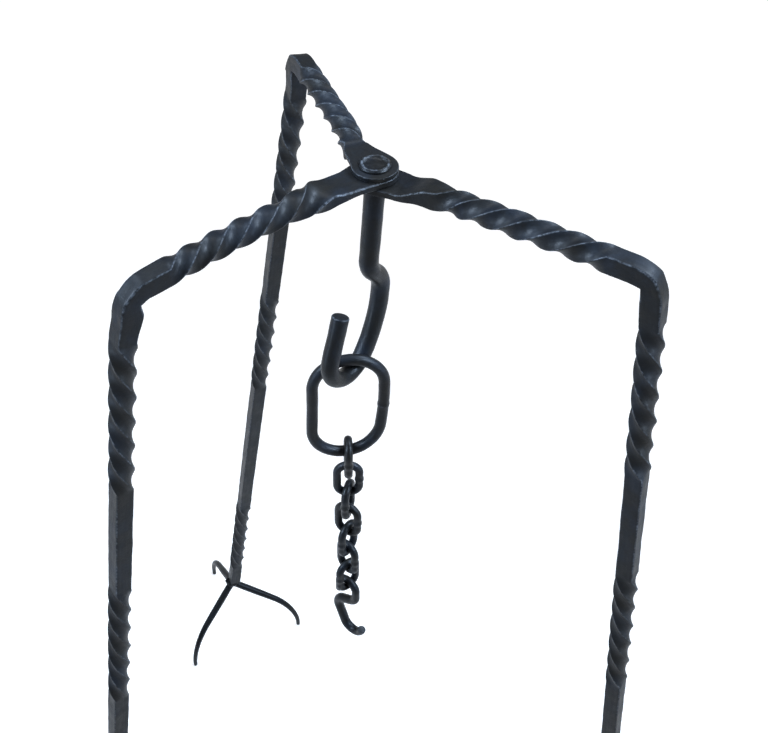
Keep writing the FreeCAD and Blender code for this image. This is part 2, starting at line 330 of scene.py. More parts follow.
# the bar's own unevenness: how far the tab lies to one side, where the arm's twist starts and how
# slowly, how far the arm bows up, how much the bar swells and tucks in under the bend, how full the
# bend's corner is, and how far the leg bows to one side
FORGING = {
    "rear": Forging(aside=3.4, twist_at=31.0, slow=1.0, bow=0.0, swell=0.6, tuck=0.0, full=0.20,
                    drift=-2.2),
    "left": Forging(aside=0.8, twist_at=36.0, slow=1.14, bow=2.2, swell=2.2, tuck=1.8, full=-0.14,
                    drift=0.0),
    "right": Forging(aside=1.8, twist_at=48.0, slow=1.0, bow=1.0, swell=0.6, tuck=0.0, full=0.24,
                     drift=0.0),
}
# the share of the arm's twist that starts gently, and its power
GENTLE_SHARE, GENTLE_POWER = 0.16, 1.5
# the reach where a tab comes back to the arm's line, and over how far
ASIDE_UNTIL, ASIDE_FADE = 32.0, 20.0
# a leg's bow to one side: over how far it comes, and its second part's share, start and length
DRIFT_OVER, DRIFT_MORE, DRIFT_MORE_FROM, DRIFT_MORE_OVER = 40.0, 0.35, 430.0, 330.0
# the bend: how tight its inner corner is, how it thins across, and the height and pace of its flats
BEND_TIGHT, BEND_PINCH, FACET_HEIGHT, FACET_PACE = 0.80, 0.10, 0.30, 6.5

# distances between stations, and the bend's step in degrees
FINE_STEP, NECK_STEP, END_STEP, PLAIN_STEP, BEND_STEP, EYE_STEPS = 1.2, 0.9, 1.5, 2.5, 2.2, 26
# corner radii along the bar, and how far and over what length they wander
TAB_CORNER, NECK_CORNER, NECK_CORNER_GROWS = 0.8, 0.9, 0.4
ARM_CORNER, ARM_END_CORNER, BEND_CORNER = 1.2, 1.3, 1.4
PLAIN_CORNER, TWIST_CORNER, FOOT_CORNER = 1.1, 1.05, 1.2
CORNER_WANDER, CORNER_WAVE = 0.35, 16.0

# hammer work on the bars: size and height of each scale of noise, and of the dents
HAMMERED = ((26.0, 0.26), (8.0, 0.20), (2.6, 0.05))
DENT_SIZE, DENT_DEPTH = 12.0, 0.22
# the stacked eyes stay flat: how far along the bar, how soon it gets rough, and what is left there
CALM_UNTIL, CALM_FADE, CALM_LEAST = 30.0, 12.0, 0.06
# a tab's front edge is burnished by its neighbours and painted brighter still as a highlight line:
# the section's columns there, how much, and how wide a station has to be to count as tab, in times
# the bar
POLISH_AND_HIGHLIGHT_COLUMNS = {
    "left": slice(0, CORNER_STEPS + 1),
    "right": slice(CORNER_STEPS + FLAT_STEPS + 1, 2 * CORNER_STEPS + FLAT_STEPS + 2),
}
POLISH_AND_HIGHLIGHT, TAB_SHARE = 2.4, 1.12


def eye_height(side):
    """The height of the middle of a leg's eye in the stack on the rivet."""
    height = WASHER_TOP + EYE_GAP
    for other, tab in TABS.items():
        if other == side:
            return height + tab.thick / 2
        height += tab.thick + EYE_GAP


def bar_size(along):
    return BAR_TOP + (BAR_FOOT - BAR_TOP) * min(1.0, along / TWISTS[-1][1])


class LegShape:
    """One leg's bar: its frames and lengths, and the stations that its surface is drawn through.

    On the arm `x` is the distance from the pivot, and on the leg from the corner of the bend.
    """

    def __init__(self, side):
        stance, tab = LEGS[side], TABS[side]
        self.stance, self.tab, self.forging = stance, tab, FORGING[side]
        droop = math.atan2(tab.neck_height - stance.bend_height, stance.reach - tab.neck_at)
        splay = math.atan2(stance.foot_reach - stance.reach, stance.bend_height - FOOT_HEIGHT)
        self.droop = math.degrees(droop)
        self.turn = 90 - math.degrees(droop + splay)
        self.arm_length = (stance.reach - tab.neck_at) / math.cos(droop)
        self.length = ((stance.bend_height - FOOT_HEIGHT)
                       / (math.cos(splay) * math.cos(math.radians(stance.lean))))
        self.tangent = BEND_RADIUS * math.tan(math.radians(self.turn) / 2)
        self.twist_out = self.arm_length - stance.plain_out

        height = eye_height(side)
        self.rise = tab.neck_height - height
        self.eye = moved(*PIVOT, height) @ turned(Z, stance.azimuth)
        self.neck = self.eye @ moved(x=tab.neck_at, z=self.rise) @ turned(Y, self.droop)
        self.leaning = self.neck @ turned(X, stance.lean)
        self.down = self.leaning @ moved(x=self.arm_length) @ turned(Y, self.turn)

        half = tab.flat_wide / 2
        self.touch = (math.atan2(half, tab.flat_at)
                      + math.acos(EYE_RADIUS / math.hypot(tab.flat_at, half)))
        self.touch_x = EYE_RADIUS * math.cos(self.touch)
        self.touch_y = EYE_RADIUS * math.sin(self.touch)

    def roll(self, x):
        """The twist's angle on the arm. It starts gently, where the tab is still wide."""
        twist_at = self.forging.twist_at
        share = (x - twist_at) / (self.twist_out + self.tab.neck_at - twist_at)
        if share <= 0:
            return 0.0
        if share < GENTLE_SHARE:
            share = GENTLE_SHARE * (share / GENTLE_SHARE) ** GENTLE_POWER
        return -(TWIST - self.stance.lean) * min(share, 1.0) ** self.forging.slow

    def aside(self, x):
        """How far the tab lies to one side."""
        comes = ease((x - self.touch_x) / (self.tab.flat_at - self.touch_x))
        return self.forging.aside * comes * (1 - ease((x - ASIDE_UNTIL) / ASIDE_FADE))

    def bow(self, x):
        """How far the arm bows up."""
        share = (x - self.tab.neck_at) / (self.arm_length - self.tangent)
        return self.forging.bow * math.sin(math.pi * share)

    def beside(self, x):
        """How far the leg bows to one side."""
        more = DRIFT_MORE * ease((x - DRIFT_MORE_FROM) / DRIFT_MORE_OVER)
        return self.forging.drift * (ease(x / DRIFT_OVER) + more)

    def tapered(self, x):
        """The width and height of the arm, and how much of its taper is done."""
        tab = self.tab
        share = ease((x - tab.flat_at) / (tab.taper_to - tab.flat_at))
        thin_to = 0.5 * (tab.neck_at + tab.taper_to)
        thin = ease((x - tab.flat_at) / (thin_to - tab.flat_at))
        wide = tab.flat_wide + (BAR_TOP - tab.flat_wide) * share
        high = tab.thick + (BAR_TOP - tab.thick) * thin
        return wide, high, share

    def tab_stations(self):
        """Round the eye's far half, and along the straight sides to the end of the flat."""
        tab, made = self.tab, []
        for k in range(1, EYE_STEPS + 1):
            angle = math.pi - (math.pi - self.touch) * k / EYE_STEPS
            half = EYE_RADIUS * math.sin(angle)
            made.append(Station(self.eye @ moved(x=EYE_RADIUS * math.cos(angle)), 0.0, 2 * half,
                                tab.thick, min(TAB_CORNER, half * 0.45)))
        for x in stretch(self.touch_x, tab.flat_at, FINE_STEP)[1:]:
            share = (x - self.touch_x) / (tab.flat_at - self.touch_x)
            wide = 2 * self.touch_y + (tab.flat_wide - 2 * self.touch_y) * share
            made.append(Station(self.eye @ moved(x=x, y=self.aside(x)), 0.0, wide, tab.thick,
                                TAB_CORNER))
        return made

    def arm_stations(self):
        """Up the neck, along the twist that leads out of it, and on to the start of the bend."""
        tab, made = self.tab, []
        for x in stretch(tab.flat_at, tab.neck_at, NECK_STEP):
            up = ease((x - tab.flat_at) / (tab.neck_at - tab.flat_at))
            wide, high, share = self.tapered(x)
            here = self.eye @ moved(x=x, y=self.aside(x), z=self.rise * up)
            made.append(Station(here @ turned(Y, self.droop * up), self.roll(x), wide, high,
                                NECK_CORNER + NECK_CORNER_GROWS * share))
        for past_neck in stretch(0, self.twist_out, FINE_STEP):
            x = tab.neck_at + past_neck
            wide, high, _ = self.tapered(x)
            made.append(Station(self.neck @ moved(x=past_neck, y=self.aside(x), z=self.bow(x)),
                                self.roll(x), wide, high, ARM_CORNER))
        for past_neck in stretch(self.twist_out, self.arm_length - self.tangent, END_STEP):
            up = self.bow(tab.neck_at + past_neck)
            made.append(Station(self.leaning @ moved(x=past_neck, z=up), -TWIST, BAR_TOP, BAR_TOP,
                                ARM_END_CORNER))
        return made

    def bend_stations(self):
        centre = self.leaning @ moved(x=self.arm_length - self.tangent, z=-BEND_RADIUS)
        return [Station(centre @ turned(Y, angle) @ moved(z=BEND_RADIUS), -TWIST, BAR_TOP, BAR_TOP,
                        BEND_CORNER) for angle in stretch(0, self.turn, BEND_STEP)]

    def leg_stations(self):
        """Down the leg's plain and twisted lengths to its foot."""
        swell, tuck, made = self.forging.swell, self.forging.tuck, []
        roll, here = -TWIST, self.tangent
        for start, end in TWISTS:
            first = start == TWISTS[0][0]
            for x in stretch(here, start, FINE_STEP if first else PLAIN_STEP):
                share = (x - self.tangent) / (start - self.tangent) if first else 1.0
                left_over = 1 - ease(share)
                low = (swell / 2 + tuck) * left_over
                made.append(Station(self.down @ moved(x=x, y=self.beside(x), z=-low), roll,
                                    bar_size(x), bar_size(x) + swell * left_over, PLAIN_CORNER))
            for x in stretch(start, end, FINE_STEP):
                share = (x - start) / (end - start)
                made.append(Station(self.down @ moved(x=x, y=self.beside(x)), roll - TWIST * share,
                                    bar_size(x), bar_size(x), TWIST_CORNER))
            roll, here = roll - TWIST, end
        for x in stretch(here, self.length, END_STEP) + [self.length]:
            made.append(Station(self.down @ moved(x=x, y=self.beside(x)), roll, bar_size(x),
                                bar_size(x), FOOT_CORNER))
        return made

    def forged_bend(self, y, z, share, high, seed):
        """Forging leaves the bend's outer corner full, with soft flats, and its inner one tight."""
        forging = self.forging
        angle = math.radians(share * self.turn - self.turn / 2)
        mitre = 1 / math.cos(math.radians(self.turn) / 2 - abs(angle)) - 1
        facets = FACET_HEIGHT * math.cos(angle * FACET_PACE + seed)
        outer = (BEND_RADIUS + high / 2) * forging.full * mitre + facets * min(1.0, mitre * 6)
        inner = (BEND_RADIUS - high / 2) * BEND_TIGHT * mitre
        lower = forging.swell * ease(share)
        z = np.where(z < 0, z - lower * np.clip(-z / (high / 2), 0, 1), z)
        z = z + np.where(z > 0, outer * np.clip(z / (high / 2), 0, 1),
                         inner * np.clip(-z / (high / 2), 0, 1))
        y = y * (1 + BEND_PINCH * mitre * np.clip(-z / (high / 2), -0.3, 1))
        return y, z - forging.tuck * ease(share)


def leg(side, seed):
    """The mesh of one leg's bar, from its eye to its foot."""
    shape = LegShape(side)
    to_bend, bend = shape.tab_stations() + shape.arm_stations(), shape.bend_stations()
    stations = to_bend + bend + shape.leg_stations()
    along = lengths_of(np.array([station.frame[:3, 3] for station in stations]))
    wander = perlin([(length, 0, seed * 9.0) for length in along], CORNER_WAVE, seed)
    polish_and_highlight_until = sum(station.wide > BAR_TOP * TAB_SHARE for station in stations)
    rows, edge = [], []
    for k, (here, roll, wide, high, corner) in enumerate(stations):
        corner = corner * (1 + CORNER_WANDER * wander[k])
        flat = SIGNS * (np.array([wide, high]) / 2 - corner) + OUTS * corner
        c, s = math.cos(math.radians(roll)), math.sin(math.radians(roll))
        y, z = flat[:, 0] * c - flat[:, 1] * s, flat[:, 0] * s + flat[:, 1] * c
        into_bend = k - len(to_bend)
        if 0 <= into_bend < len(bend):
            y, z = shape.forged_bend(y, z, into_bend / len(bend), high, seed)
        rows.append(drawn_across(here, y, z))
        # corners are painted bright steel by their edge weight, as scuffing with a painted
        # highlight; the tab's front edge gets a stronger painted highlight line
        strength = np.ones(len(EDGE))
        if k < polish_and_highlight_until and side in POLISH_AND_HIGHLIGHT_COLUMNS:
            strength[POLISH_AND_HIGHLIGHT_COLUMNS[side]] = POLISH_AND_HIGHLIGHT
        edge.append(EDGE * strength)
    rows = np.array(rows)
    points = rows.reshape(-1, 3)
    push = -dents(points, DENT_SIZE, seed) * DENT_DEPTH
    for k, (size, height) in enumerate(HAMMERED):
        push += perlin(points, size, seed + k) * height
    calm = np.clip((along - CALM_UNTIL) / CALM_FADE, CALM_LEAST, 1.0)
    push = push.reshape(rows.shape[:2]) * calm[:, None]
    rows = rows + away_from(rows, rows.mean(axis=1, keepdims=True)) * push[:, :, None]
    return skin(f"{side}_leg_forged", rows, along, np.array(edge))


# ---------------------------------------------------------------- feet
TOE_DIA, TOE_REACH, TOE_SLOPE, TOE_ROUND, TOE_SINK, TOE_SWING = 7.4, 83.0, 29.0, 62.0, 2.0, 5.0
TOE_STEP, TOE_SPREAD, TOE_ROUGH = 3.0, 120.0, 0.12
# a toe's size at its root, how much it draws down, and where along it that starts
TOE_ROOT, TOE_DRAW, TOE_DRAW_FROM = 1.15, 0.50, 0.25
# the weld: its radius, its swell half-way down and how far it draws in, its top above the leg's end
# and its depth
WELD_RADIUS, WELD_SWELL, WELD_DRAW, WELD_TOP, WELD_DEPTH = 6.8, 1.9, 1.6, 2.5, 7.5
WELD_RINGS, WELD_COLUMNS, WELD_EDGE = 9, 28, 0.4


def toe_path(root, azimuth):
    slope = math.radians(TOE_SLOPE)
    out = (TOE_REACH - TOE_ROUND * (1 - math.sin(slope))) / math.cos(slope)
    tip = root[2] - out * math.sin(slope) - TOE_ROUND * math.cos(slope)
    start = moved(*root) @ turned(Z, azimuth) @ turned(Y, TOE_SLOPE)
    steps = [("run", out), ("arc", TOE_ROUND, TOE_SLOPE - 90), ("run", tip)]
    return walk(start, steps, TOE_STEP, TOE_STEP)[:2]


def toe_radius(lengths):
    """A toe draws down from its root to a blunt point."""
    share = np.clip(lengths / lengths[-1], 0, 1)
    drawn = np.clip((share - TOE_DRAW_FROM) / (1 - TOE_DRAW_FROM), 0, 1) ** 1.2
    return TOE_DIA / 2 * (TOE_ROOT - TOE_DRAW * drawn)


def foot_weld(side, root, seed):
    """The lumpy bead that joins the toes to the leg's end."""
    angles, cosines, sines = round_ring(WELD_COLUMNS)
    ripple = 0.3 * np.sin(angles * 7 + seed)
    rows = []
    for share in np.linspace(1, 0, WELD_RINGS):
        size = WELD_RADIUS + WELD_SWELL * math.sin(math.pi * share) - WELD_DRAW * share
        centre = np.array([root[0], root[1], FOOT_HEIGHT + WELD_TOP - WELD_DEPTH * share])
        lumps = (1 + 0.07 * np.sin(angles * 5 + seed)
                 + 0.04 * np.sin(angles * 9 + 2 * seed + share * 3))
        bead = np.stack([cosines * size * lumps, sines * size * lumps, ripple], axis=1)
        rows.append(centre + bead)
    return skin(f"{side}_foot_weld", np.array(rows), np.linspace(0, 8, WELD_RINGS),
                np.full((WELD_RINGS, WELD_COLUMNS), WELD_EDGE))


def foot(side, end, seed):
    """The arch of two toes in one rod, the third toe, and the weld at the leg's end."""
    root = (end[0], end[1], FOOT_HEIGHT - TOE_SINK)
    outward = LEGS[side].azimuth + TOE_SWING
    halves = []
    for spread in (TOE_SPREAD, -TOE_SPREAD):
        frames, lengths = toe_path(root, outward + spread)
        halves.append((np.array([here[:3, 3] for here in frames]), toe_radius(lengths)))
    (first, first_radius), (second, second_radius) = halves
    points = np.concatenate([first[::-1], second[1:]])
    radius = np.concatenate([first_radius[::-1], second_radius[1:]])
    # soften the corner where the two toes meet
    low, high = len(first) - 6, len(first) + 5
    for _ in range(3):
        points[low:high] = (points[low - 1:high - 1] + points[low:high] * 2
                            + points[low + 1:high + 1]) / 4
    heading = math.radians(outward)
    frames = along_points(points, np.array([math.cos(heading), math.sin(heading), 0.0]))
    arch = wire(f"{side}_foot_arch_forged", frames, lengths_of(points), radius, seed, TOE_ROUGH)
    frames, lengths = toe_path(root, outward)
    third = wire(f"{side}_foot_toe_forged", frames, lengths, toe_radius(lengths), seed + 1,
                 TOE_ROUGH, buried_start=True)
    return arch, third, foot_weld(side, root, seed)


# ---------------------------------------------------------------- swivel hook, head and washer
SHANK_DIA, TENON_DIA, HOOK_YAW, HOOK_BOWL = 13.4, 9.5, 233.5, 21.5
HOOK_NECK = [("run", 5.8), ("arc", 60.0, 5.0), ("run", 50.0), ("arc", 17.0, -48.0), ("run", 6.5),
             ("arc", 20.0, 46.0), ("arc", 90.0, 36.0)]
HOOK_END = [("arc", HOOK_BOWL, 160.0), ("run", 35.0)]
HOOK_FULL, HOOK_DRAW = 1.07, 0.12  # the shank's size at its top, and how much it draws down
HEAD_DIA, HEAD_TOP_DIA = 21.6, 17.2
HEAD_FOOT = WASHER_TOP + EYE_GAP + sum(tab.thick + EYE_GAP for tab in TABS.values())
WASHER_DIA, WASHER_FIT = 17.0, 0.05
# hammer work on a turned piece: the size of its waves and dents, the share of the dents, and how
# much of it goes outward
TURNED_WAVE, TURNED_DENT, TURNED_DENT_SHARE, TURNED_OUTWARD = 5.0, 5.5, 0.8, 0.7
# it fades out towards the middle, and towards the underside that bears on the piece below
TRUE_MIDDLE, TRUE_FOOT = 4.0, 0.8


def lathe(name, outline, centre, seed, rough, scuff_and_highlight, columns=64, closed=False):
    """A turned piece from (radius, height) pairs, with hammered unevenness."""
    _, cosines, sines = round_ring(columns)
    rows = np.array([np.stack([centre[0] + cosines * size, centre[1] + sines * size,
                               np.full(columns, centre[2] + height)], axis=1)
                     for size, height in outline])
    points = rows.reshape(-1, 3)
    push = (perlin(points, TURNED_WAVE, seed)
            - dents(points, TURNED_DENT, seed) * TURNED_DENT_SHARE)
    push = push.reshape(rows.shape[:2]) * rough
    outward = rows - np.array([centre[0], centre[1], 0.0])
    outward[:, :, 2] = 0
    outward /= np.maximum(np.linalg.norm(outward, axis=2, keepdims=True), 1e-6)
    sizes = np.array([size for size, _ in outline])[:, None]
    above_foot = rows[:, :, 2] - rows[:, :, 2].min()
    rows[:, :, 2] += (push * np.clip(sizes / TRUE_MIDDLE, 0, 1)
                      * np.clip(above_foot / TRUE_FOOT, 0, 1))
    rows += outward * push[:, :, None] * TURNED_OUTWARD
    edge = np.tile(np.array(scuff_and_highlight)[:, None], (1, columns))
    return skin(name, rows, np.linspace(0, 20, len(outline)), edge, closed)


def swivel_hook():
    """The hook's bar, its rivet head and tenon, and the low point of its bowl."""
    start = moved(*PIVOT, SHOULDER) @ turned(Z, HOOK_YAW) @ turned(Y, 90)
    frames, lengths, ends = walk(start, HOOK_NECK + HOOK_END, 2.5, 4.0)
    radius = SHANK_DIA / 2 * (HOOK_FULL - HOOK_DRAW * lengths / lengths[-1])
    bar = wire("swivel_hook_forged", frames, lengths, radius, seed=21, rough=0.2, blunt=1.1,
               sides=40)
    bowl_centre = (ends[len(HOOK_NECK)] @ np.array([0, 0, HOOK_BOWL, 1.0]))[:3]
    seat = bowl_centre - np.array([0, 0, HOOK_BOWL])

    rim, crown = HEAD_DIA / 2, HEAD_TOP_DIA / 2
    side_of_head = [(TENON_DIA / 2, 0.0), (rim - 0.7, 0.0), (rim - 0.1, 0.25), (rim, 0.7),
                    (rim - 0.5, 1.25), (crown + 1.1, 1.75), (crown + 0.45, 2.15)]
    dished_top = [(crown - 0.2, 2.2), (crown - 0.8, 1.9), (crown - 1.4, 1.45), (crown - 2.6, 1.15),
                  (crown - 4.2, 1.2), (crown - 6.0, 1.35), (0.9, 1.4)]
    # edge weights round the head's outline: its rim and crown are painted bright steel, as scuffing
    # with a painted highlight
    scuff_and_highlight = [0, 0, 0.2, 0.5, 0.3, 0.5, 1.0, 1.0, 0.6, 0.1, 0, 0, 0, 0]
    head = lathe("swivel_hook_head", side_of_head + dished_top, (*PIVOT, HEAD_FOOT), seed=5,
                 rough=0.42, scuff_and_highlight=scuff_and_highlight, columns=80)
    inside = [(TENON_DIA / 2, SHOULDER - 0.2), (TENON_DIA / 2, HEAD_FOOT + 0.3)]
    tenon = lathe("swivel_hook_tenon", inside, (*PIVOT, 0.0), seed=6, rough=0.0, scuff_and_highlight=[0, 0],
                  columns=40)
    return bar, head, tenon, seat


def washer():
    outer, inner = WASHER_DIA / 2, TENON_DIA / 2 + WASHER_FIT
    thick = WASHER_TOP - SHOULDER
    outline = [(inner, 0.0), (outer - 0.3, 0.0), (outer, 0.25), (outer, 0.75), (outer - 0.3, thick),
               (inner, thick)]
    # the washer's rim is painted bright steel, as scuffing with a painted highlight
    return lathe("pivot_washer_forged", outline, (*PIVOT, SHOULDER), seed=8, rough=0.06,
                 scuff_and_highlight=[0, 0.4, 0.8, 0.8, 0.4, 0], closed=True)


# ---------------------------------------------------------------- ring, chain and end hook
Loop = namedtuple("Loop", "gauge width length ridge rough sides run_step skew")

# `ridge` is the height of the weld's ridge, and `skew` how far the lower end is pulled to one side
RING = Loop(gauge=8.8, width=63.0, length=106.4, ridge=0.35, rough=0.16, sides=28, run_step=2.0,
            skew=-2.6)
LINK = Loop(gauge=6.6, width=24.4, length=39.2, ridge=0.55, rough=0.10, sides=24, run_step=1.6,
            skew=0.0)
RING_YAW, RING_GAP = 10.0, 2.6
LINK_YAWS, LINK_GAP = (94.0, 2.0, 76.0, -26.0, 57.0, -46.0, 42.0), 0.3
RIDGE_WIDE, GROOVE_AT, GROOVE_WIDE, GROOVE_SHARE = 1.7, 3.6, 1.2, 0.35
# where a loop's pull starts down its length and over how much of it, and how it opens the bend
PULL_FROM, PULL_OVER, PULL_OPENS = 0.33, 0.6, 0.4
END_WIRE, END_YAW, END_EYE, END_BOWL, END_TAIL = 7.0, -40.0, 9.5, 10.5, 11.0
END_STEPS = [("run", END_TAIL), ("arc", END_EYE, -180), ("run", 8.0), ("arc", END_EYE, -60),
             ("run", 12.0), ("arc", 11.0, 82), ("run", 19.0), ("arc", END_BOWL, 138), ("run", 3.0)]
# the end hook is fuller past its eye: how much, from where and over what length; then its point
END_FULL, END_FULL_FROM, END_FULL_OVER, END_DRAW, END_DRAW_OVER = 0.20, 48.0, 14.0, 0.12, 0.2


def hung(seat, rise, yaw):
    return moved(seat[0], seat[1], seat[2] + rise) @ turned(Z, yaw)


def pulled(frames, crown, shape, radius):
    """The frames of a loop whose lower end has been pulled to one side."""
    to_crown = np.linalg.inv(crown)
    opens = PULL_OPENS / radius * math.copysign(1, -shape.skew)
    made = []
    for here in frames:
        across, _, drop, _ = to_crown @ here[:, 3]
        pull = ease((abs(drop) / shape.length - PULL_FROM) / PULL_OVER) * shape.skew
        made.append(crown @ moved(x=pull * (1 + opens * across)) @ to_crown @ here)
    return made


def loop(name, crown, shape, seed, weld_share):
    """A welded ring or link below its crown, with the weld at `weld_share` of the way round."""
    radius = (shape.width - shape.gauge) / 2
    straight = shape.length - shape.width
    steps = [("arc", radius, 90), ("run", straight), ("arc", radius, 180), ("run", straight),
             ("arc", radius, 90)]
    frames, lengths, _ = walk(crown @ turned(Y, 180), steps, shape.run_step, 5.0)
    weld_at = weld_share * lengths[-1]
    away = np.abs(lengths - weld_at)
    ridge = np.exp(-(away / RIDGE_WIDE) ** 2)
    groove = np.exp(-((away - GROOVE_AT) / GROOVE_WIDE) ** 2)
    sizes = shape.gauge / 2 + shape.ridge * (ridge - GROOVE_SHARE * groove)
    if shape.skew:
        frames = pulled(frames, crown, shape, radius)
    return wire(name, frames, lengths, sizes, seed, shape.rough, closed=True, sides=shape.sides,
                seam_at=weld_at if shape.skew else None)


def end_hook(seat):
    crown = hung(seat, (LINK.gauge + END_WIRE) / 2 + LINK_GAP, END_YAW)
    start = crown @ moved(x=-END_EYE, z=-END_EYE - END_TAIL) @ turned(Y, -90)
    frames, lengths, _ = walk(start, END_STEPS, 1.6, 5.0)
    full = END_FULL * np.clip((lengths - END_FULL_FROM) / END_FULL_OVER, 0, 1)
    left = 1 - lengths / lengths[-1]
    draw = END_DRAW * np.clip(1 - left / END_DRAW_OVER, 0, 1)
    return wire("end_hook_forged", frames, lengths, END_WIRE / 2 * (1 + full - draw), seed=61)


# ---------------------------------------------------------------- materials
DARK = (0.0048, 0.0050, 0.0055)
COOL = (0.0066, 0.0088, 0.013)
BROWN = (0.0070, 0.0062, 0.0050)
# bright steel of scuffed edges, which also stands in for a painted edge highlight
BARE_METAL_SCUFF_AND_HIGHLIGHT = (0.16, 0.18, 0.21)
IRON_IOR, IRON_TINT = 1.25, (0.82, 0.90, 1.0, 1)
WAX, WAX_ROUGHNESS = 0.10, 0.30


def node(tree, kind, at, **sockets):
    """A node with constants set on its sockets."""
    made = tree.nodes.new(kind)
    made.location = at
    for name, value in sockets.items():
        made.inputs[name.replace("_", " ")].default_value = value
    return made


def attribute(tree, at, name):
    made = node(tree, "ShaderNodeAttribute", at)
    made.attribute_name = name
    return made


def arithmetic(tree, operation, at, first, second):
    """A node that adds or multiplies two outputs."""
    made = node(tree, "ShaderNodeMath", at)
    made.operation = operation
    tree.links.new(first, made.inputs[0])
    tree.links.new(second, made.inputs[1])
    return made.outputs["Value"]


def ramp(tree, at, source, stops):
    """A colour ramp on an output, from (position, colour) pairs."""
    made = node(tree, "ShaderNodeValToRGB", at)
    elements = made.color_ramp.elements
    elements[0].position, elements[0].color = stops[0]
    elements[1].position, elements[1].color = stops[-1]
    for position, colour in stops[1:-1]:
        elements.new(position).color = colour
    tree.links.new(source, made.inputs["Fac"])
    return made.outputs["Color"]


def grey(value):
    return value, value, value, 1


def rescaled(tree, at, source, low, high, to_low, to_high):
    made = node(tree, "ShaderNodeMapRange", at, From_Min=low, From_Max=high, To_Min=to_low,
                To_Max=to_high)
    tree.links.new(source, made.inputs["Value"])
    return made.outputs["Result"]


def relief(tree, at, height, strength, distance, below=None):
    """A bump on top of another one."""
    made = node(tree, "ShaderNodeBump", at, Strength=strength, Distance=distance)
    tree.links.new(height, made.inputs["Height"])
    if below:
        tree.links.new(below, made.inputs["Normal"])
    return made.outputs["Normal"]


